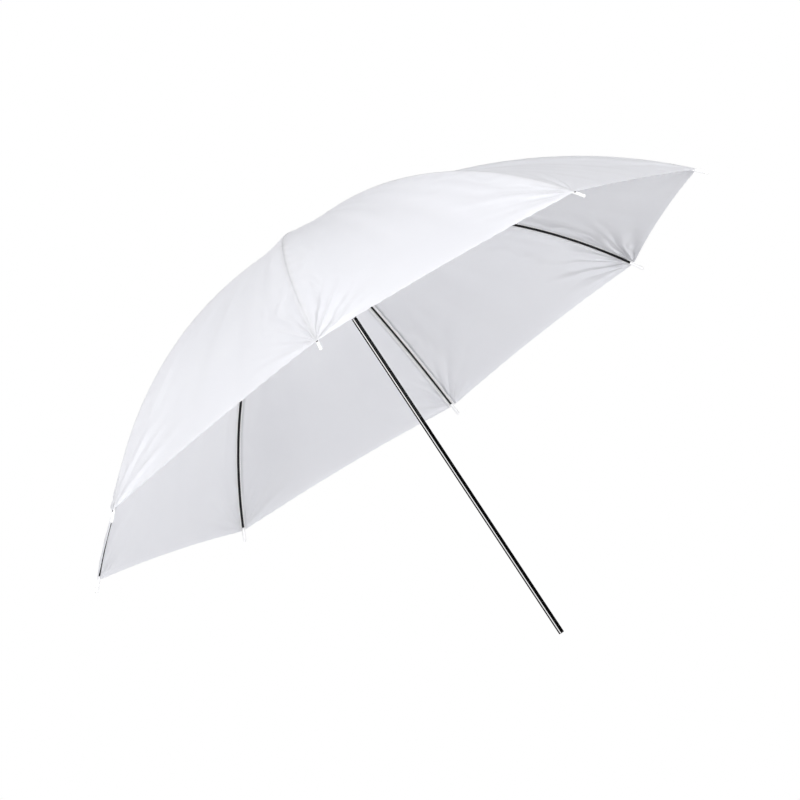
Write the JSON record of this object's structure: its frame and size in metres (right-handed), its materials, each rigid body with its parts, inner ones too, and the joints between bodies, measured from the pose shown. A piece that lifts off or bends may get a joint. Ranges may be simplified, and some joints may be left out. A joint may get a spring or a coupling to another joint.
{
  "type": "umbrella reflector",
  "caption": "White translucent photographic umbrella on a slim steel shaft, with black ribs and stretchers that fold down around the shaft as the runner slides.",
  "frame": {"origin": "centre of the shaft's free lower end", "axes": "+Z along the shaft towards the crown; +X through rib 1, the other ribs counted counter-clockwise seen from above"},
  "size_m": [1.0832, 1.0832, 0.7023],
  "materials": {
    "steel": "polished",
    "wire": "plain wire",
    "rib": "black enamel",
    "plastic": "moulded black",
    "cap": "moulded white",
    "fabric": "translucent woven nylon"
  },
  "bodies": {
    "shaft": {"shaft_tube": "steel", "crown_hub": "plastic", "crown_wire": "wire", "canopy_disc": "fabric", "crown_cap": "cap"},
    "runner": {"runner": "plastic", "runner_wire": "wire"},
    "catch": {"catch": "steel"},
    "rib_inner_1": {"rib_inner_1": "rib"},
    "rib_outer_1": {"rib_outer_1": "rib", "rib_tip_1": "cap"},
    "stretcher_1": {"stretcher_1": "rib"},
    "panel_left_1": {"panel_left_1": "fabric"},
    "panel_right_1": {"panel_right_1": "fabric"},
    "rib_inner_2": {"rib_inner_2": "rib"},
    "rib_outer_2": {"rib_outer_2": "rib", "rib_tip_2": "cap"},
    "stretcher_2": {"stretcher_2": "rib"},
    "panel_left_2": {"panel_left_2": "fabric"},
    "panel_right_2": {"panel_right_2": "fabric"},
    "rib_inner_3": {"rib_inner_3": "rib"},
    "rib_outer_3": {"rib_outer_3": "rib", "rib_tip_3": "cap"},
    "stretcher_3": {"stretcher_3": "rib"},
    "panel_left_3": {"panel_left_3": "fabric"},
    "panel_right_3": {"panel_right_3": "fabric"},
    "rib_inner_4": {"rib_inner_4": "rib"},
    "rib_outer_4": {"rib_outer_4": "rib", "rib_tip_4": "cap"},
    "stretcher_4": {"stretcher_4": "rib"},
    "panel_left_4": {"panel_left_4": "fabric"},
    "panel_right_4": {"panel_right_4": "fabric"},
    "rib_inner_5": {"rib_inner_5": "rib"},
    "rib_outer_5": {"rib_outer_5": "rib", "rib_tip_5": "cap"},
    "stretcher_5": {"stretcher_5": "rib"},
    "panel_left_5": {"panel_left_5": "fabric"},
    "panel_right_5": {"panel_right_5": "fabric"},
    "rib_inner_6": {"rib_inner_6": "rib"},
    "rib_outer_6": {"rib_outer_6": "rib", "rib_tip_6": "cap"},
    "stretcher_6": {"stretcher_6": "rib"},
    "panel_left_6": {"panel_left_6": "fabric"},
    "panel_right_6": {"panel_right_6": "fabric"},
    "rib_inner_7": {"rib_inner_7": "rib"},
    "rib_outer_7": {"rib_outer_7": "rib", "rib_tip_7": "cap"},
    "stretcher_7": {"stretcher_7": "rib"},
    "panel_left_7": {"panel_left_7": "fabric"},
    "panel_right_7": {"panel_right_7": "fabric"},
    "rib_inner_8": {"rib_inner_8": "rib"},
    "rib_outer_8": {"rib_outer_8": "rib", "rib_tip_8": "cap"},
    "stretcher_8": {"stretcher_8": "rib"},
    "panel_left_8": {"panel_left_8": "fabric"},
    "panel_right_8": {"panel_right_8": "fabric"}
  },
  "joints": [
    {"name": "runner_slide", "type": "slide", "parent": "shaft", "child": "runner", "axis": [0, 0, -1], "range_m": [0, 0.37436]},
    {"name": "catch_press", "type": "slide", "parent": "shaft", "child": "catch", "axis": [-1, 0, 0], "range_m": [0, 0.0016], "stiffness_N_per_m": 300},
    {"name": "rib_1", "type": "hinge", "parent": "shaft", "child": "rib_inner_1", "pos_m": [0.0105, 0, 0.69098], "axis": [0, 1, 0], "range_deg": [0, 75]},
    {"name": "flex_1", "type": "hinge", "parent": "rib_inner_1", "child": "rib_outer_1", "pos_m": [0.25399, 0, 0.63567], "axis": [0, 1, 0], "range_deg": [-22.56, 0]},
    {"name": "brace_1", "type": "hinge", "parent": "rib_inner_1", "child": "stretcher_1", "pos_m": [0.24772, 0, 0.63436], "axis": [0, 1, 0], "range_deg": [-149.98, 0]},
    {"name": "fold_left_1", "type": "hinge", "parent": "rib_inner_1", "child": "panel_left_1", "pos_m": [0.01188, -0.00231, 0.6962], "axis": [0.9279, -0.1809, -0.326], "range_deg": [0, 64.92], "deforming": ["panel_left_1"]},
    {"name": "fold_right_1", "type": "hinge", "parent": "rib_inner_1", "child": "panel_right_1", "pos_m": [0.01188, 0.00231, 0.6962], "axis": [-0.9279, -0.1809, 0.326], "range_deg": [0, 64.92], "deforming": ["panel_right_1"]},
    {"name": "rib_2", "type": "hinge", "parent": "shaft", "child": "rib_inner_2", "pos_m": [0.00742, 0.00742, 0.69098], "axis": [-0.7071, 0.7071, 0], "range_deg": [0, 75]},
    {"name": "flex_2", "type": "hinge", "parent": "rib_inner_2", "child": "rib_outer_2", "pos_m": [0.1796, 0.1796, 0.63567], "axis": [-0.7071, 0.7071, 0], "range_deg": [-22.56, 0]},
    {"name": "brace_2", "type": "hinge", "parent": "rib_inner_2", "child": "stretcher_2", "pos_m": [0.17517, 0.17517, 0.63436], "axis": [-0.7071, 0.7071, 0], "range_deg": [-149.98, 0]},
    {"name": "fold_left_2", "type": "hinge", "parent": "rib_inner_2", "child": "panel_left_2", "pos_m": [0.01004, 0.00677, 0.6962], "axis": [0.784, 0.5283, -0.326], "range_deg": [0, 64.92], "deforming": ["panel_left_2"]},
    {"name": "fold_right_2", "type": "hinge", "parent": "rib_inner_2", "child": "panel_right_2", "pos_m": [0.00677, 0.01004, 0.6962], "axis": [-0.5283, -0.784, 0.326], "range_deg": [0, 64.92], "deforming": ["panel_right_2"]},
    {"name": "rib_3", "type": "hinge", "parent": "shaft", "child": "rib_inner_3", "pos_m": [0, 0.0105, 0.69098], "axis": [-1, 0, 0], "range_deg": [0, 75]},
    {"name": "flex_3", "type": "hinge", "parent": "rib_inner_3", "child": "rib_outer_3", "pos_m": [0, 0.25399, 0.63567], "axis": [-1, 0, 0], "range_deg": [-22.56, 0]},
    {"name": "brace_3", "type": "hinge", "parent": "rib_inner_3", "child": "stretcher_3", "pos_m": [0, 0.24772, 0.63436], "axis": [-1, 0, 0], "range_deg": [-149.98, 0]},
    {"name": "fold_left_3", "type": "hinge", "parent": "rib_inner_3", "child": "panel_left_3", "pos_m": [0.00231, 0.01188, 0.6962], "axis": [0.1809, 0.9279, -0.326], "range_deg": [0, 64.92], "deforming": ["panel_left_3"]},
    {"name": "fold_right_3", "type": "hinge", "parent": "rib_inner_3", "child": "panel_right_3", "pos_m": [-0.00231, 0.01188, 0.6962], "axis": [0.1809, -0.9279, 0.326], "range_deg": [0, 64.92], "deforming": ["panel_right_3"]},
    {"name": "rib_4", "type": "hinge", "parent": "shaft", "child": "rib_inner_4", "pos_m": [-0.00742, 0.00742, 0.69098], "axis": [-0.7071, -0.7071, 0], "range_deg": [0, 75]},
    {"name": "flex_4", "type": "hinge", "parent": "rib_inner_4", "child": "rib_outer_4", "pos_m": [-0.1796, 0.1796, 0.63567], "axis": [-0.7071, -0.7071, 0], "range_deg": [-22.56, 0]},
    {"name": "brace_4", "type": "hinge", "parent": "rib_inner_4", "child": "stretcher_4", "pos_m": [-0.17517, 0.17517, 0.63436], "axis": [-0.7071, -0.7071, 0], "range_deg": [-149.98, 0]},
    {"name": "fold_left_4", "type": "hinge", "parent": "rib_inner_4", "child": "panel_left_4", "pos_m": [-0.00677, 0.01004, 0.6962], "axis": [-0.5283, 0.784, -0.326], "range_deg": [0, 64.92], "deforming": ["panel_left_4"]},
    {"name": "fold_right_4", "type": "hinge", "parent": "rib_inner_4", "child": "panel_right_4", "pos_m": [-0.01004, 0.00677, 0.6962], "axis": [0.784, -0.5283, 0.326], "range_deg": [0, 64.92], "deforming": ["panel_right_4"]},
    {"name": "rib_5", "type": "hinge", "parent": "shaft", "child": "rib_inner_5", "pos_m": [-0.0105, 0, 0.69098], "axis": [0, -1, 0], "range_deg": [0, 75]},
    {"name": "flex_5", "type": "hinge", "parent": "rib_inner_5", "child": "rib_outer_5", "pos_m": [-0.25399, 0, 0.63567], "axis": [0, -1, 0], "range_deg": [-22.56, 0]},
    {"name": "brace_5", "type": "hinge", "parent": "rib_inner_5", "child": "stretcher_5", "pos_m": [-0.24772, 0, 0.63436], "axis": [0, -1, 0], "range_deg": [-149.98, 0]},
    {"name": "fold_left_5", "type": "hinge", "parent": "rib_inner_5", "child": "panel_left_5", "pos_m": [-0.01188, 0.00231, 0.6962], "axis": [-0.9279, 0.1809, -0.326], "range_deg": [0, 64.92], "deforming": ["panel_left_5"]},
    {"name": "fold_right_5", "type": "hinge", "parent": "rib_inner_5", "child": "panel_right_5", "pos_m": [-0.01188, -0.00231, 0.6962], "axis": [0.9279, 0.1809, 0.326], "range_deg": [0, 64.92], "deforming": ["panel_right_5"]},
    {"name": "rib_6", "type": "hinge", "parent": "shaft", "child": "rib_inner_6", "pos_m": [-0.00742, -0.00742, 0.69098], "axis": [0.7071, -0.7071, 0], "range_deg": [0, 75]},
    {"name": "flex_6", "type": "hinge", "parent": "rib_inner_6", "child": "rib_outer_6", "pos_m": [-0.1796, -0.1796, 0.63567], "axis": [0.7071, -0.7071, 0], "range_deg": [-22.56, 0]},
    {"name": "brace_6", "type": "hinge", "parent": "rib_inner_6", "child": "stretcher_6", "pos_m": [-0.17517, -0.17517, 0.63436], "axis": [0.7071, -0.7071, 0], "range_deg": [-149.98, 0]},
    {"name": "fold_left_6", "type": "hinge", "parent": "rib_inner_6", "child": "panel_left_6", "pos_m": [-0.01004, -0.00677, 0.6962], "axis": [-0.784, -0.5283, -0.326], "range_deg": [0, 64.92], "deforming": ["panel_left_6"]},
    {"name": "fold_right_6", "type": "hinge", "parent": "rib_inner_6", "child": "panel_right_6", "pos_m": [-0.00677, -0.01004, 0.6962], "axis": [0.5283, 0.784, 0.326], "range_deg": [0, 64.92], "deforming": ["panel_right_6"]},
    {"name": "rib_7", "type": "hinge", "parent": "shaft", "child": "rib_inner_7", "pos_m": [0, -0.0105, 0.69098], "axis": [1, 0, 0], "range_deg": [0, 75]},
    {"name": "flex_7", "type": "hinge", "parent": "rib_inner_7", "child": "rib_outer_7", "pos_m": [0, -0.25399, 0.63567], "axis": [1, 0, 0], "range_deg": [-22.56, 0]},
    {"name": "brace_7", "type": "hinge", "parent": "rib_inner_7", "child": "stretcher_7", "pos_m": [0, -0.24772, 0.63436], "axis": [1, 0, 0], "range_deg": [-149.98, 0]},
    {"name": "fold_left_7", "type": "hinge", "parent": "rib_inner_7", "child": "panel_left_7", "pos_m": [-0.00231, -0.01188, 0.6962], "axis": [-0.1809, -0.9279, -0.326], "range_deg": [0, 64.92], "deforming": ["panel_left_7"]},
    {"name": "fold_right_7", "type": "hinge", "parent": "rib_inner_7", "child": "panel_right_7", "pos_m": [0.00231, -0.01188, 0.6962], "axis": [-0.1809, 0.9279, 0.326], "range_deg": [0, 64.92], "deforming": ["panel_right_7"]},
    {"name": "rib_8", "type": "hinge", "parent": "shaft", "child": "rib_inner_8", "pos_m": [0.00742, -0.00742, 0.69098], "axis": [0.7071, 0.7071, 0], "range_deg": [0, 75]},
    {"name": "flex_8", "type": "hinge", "parent": "rib_inner_8", "child": "rib_outer_8", "pos_m": [0.1796, -0.1796, 0.63567], "axis": [0.7071, 0.7071, 0], "range_deg": [-22.56, 0]},
    {"name": "brace_8", "type": "hinge", "parent": "rib_inner_8", "child": "stretcher_8", "pos_m": [0.17517, -0.17517, 0.63436], "axis": [0.7071, 0.7071, 0], "range_deg": [-149.98, 0]},
    {"name": "fold_left_8", "type": "hinge", "parent": "rib_inner_8", "child": "panel_left_8", "pos_m": [0.00677, -0.01004, 0.6962], "axis": [0.5283, -0.784, -0.326], "range_deg": [0, 64.92], "deforming": ["panel_left_8"]},
    {"name": "fold_right_8", "type": "hinge", "parent": "rib_inner_8", "child": "panel_right_8", "pos_m": [0.01004, -0.00677, 0.6962], "axis": [-0.784, 0.5283, 0.326], "range_deg": [0, 64.92], "deforming": ["panel_right_8"]}
  ],
  "couplings": [
    {"joint": "rib_1", "follows": "runner_slide", "rad_per_m": 3.4956},
    {"joint": "flex_1", "follows": "runner_slide", "rad_per_m": -1.0507},
    {"joint": "brace_1", "follows": "runner_slide", "rad_per_m": -6.9912},
    {"joint": "fold_left_1", "follows": "runner_slide", "rad_per_m": 3.0256},
    {"joint": "fold_right_1", "follows": "runner_slide", "rad_per_m": 3.0256},
    {"joint": "rib_2", "follows": "runner_slide", "rad_per_m": 3.4956},
    {"joint": "flex_2", "follows": "runner_slide", "rad_per_m": -1.0507},
    {"joint": "brace_2", "follows": "runner_slide", "rad_per_m": -6.9912},
    {"joint": "fold_left_2", "follows": "runner_slide", "rad_per_m": 3.0256},
    {"joint": "fold_right_2", "follows": "runner_slide", "rad_per_m": 3.0256},
    {"joint": "rib_3", "follows": "runner_slide", "rad_per_m": 3.4956},
    {"joint": "flex_3", "follows": "runner_slide", "rad_per_m": -1.0507},
    {"joint": "brace_3", "follows": "runner_slide", "rad_per_m": -6.9912},
    {"joint": "fold_left_3", "follows": "runner_slide", "rad_per_m": 3.0256},
    {"joint": "fold_right_3", "follows": "runner_slide", "rad_per_m": 3.0256},
    {"joint": "rib_4", "follows": "runner_slide", "rad_per_m": 3.4956},
    {"joint": "flex_4", "follows": "runner_slide", "rad_per_m": -1.0507},
    {"joint": "brace_4", "follows": "runner_slide", "rad_per_m": -6.9912},
    {"joint": "fold_left_4", "follows": "runner_slide", "rad_per_m": 3.0256},
    {"joint": "fold_right_4", "follows": "runner_slide", "rad_per_m": 3.0256},
    {"joint": "rib_5", "follows": "runner_slide", "rad_per_m": 3.4956},
    {"joint": "flex_5", "follows": "runner_slide", "rad_per_m": -1.0507},
    {"joint": "brace_5", "follows": "runner_slide", "rad_per_m": -6.9912},
    {"joint": "fold_left_5", "follows": "runner_slide", "rad_per_m": 3.0256},
    {"joint": "fold_right_5", "follows": "runner_slide", "rad_per_m": 3.0256},
    {"joint": "rib_6", "follows": "runner_slide", "rad_per_m": 3.4956},
    {"joint": "flex_6", "follows": "runner_slide", "rad_per_m": -1.0507},
    {"joint": "brace_6", "follows": "runner_slide", "rad_per_m": -6.9912},
    {"joint": "fold_left_6", "follows": "runner_slide", "rad_per_m": 3.0256},
    {"joint": "fold_right_6", "follows": "runner_slide", "rad_per_m": 3.0256},
    {"joint": "rib_7", "follows": "runner_slide", "rad_per_m": 3.4956},
    {"joint": "flex_7", "follows": "runner_slide", "rad_per_m": -1.0507},
    {"joint": "brace_7", "follows": "runner_slide", "rad_per_m": -6.9912},
    {"joint": "fold_left_7", "follows": "runner_slide", "rad_per_m": 3.0256},
    {"joint": "fold_right_7", "follows": "runner_slide", "rad_per_m": 3.0256},
    {"joint": "rib_8", "follows": "runner_slide", "rad_per_m": 3.4956},
    {"joint": "flex_8", "follows": "runner_slide", "rad_per_m": -1.0507},
    {"joint": "brace_8", "follows": "runner_slide", "rad_per_m": -6.9912},
    {"joint": "fold_left_8", "follows": "runner_slide", "rad_per_m": 3.0256},
    {"joint": "fold_right_8", "follows": "runner_slide", "rad_per_m": 3.0256}
  ]
}
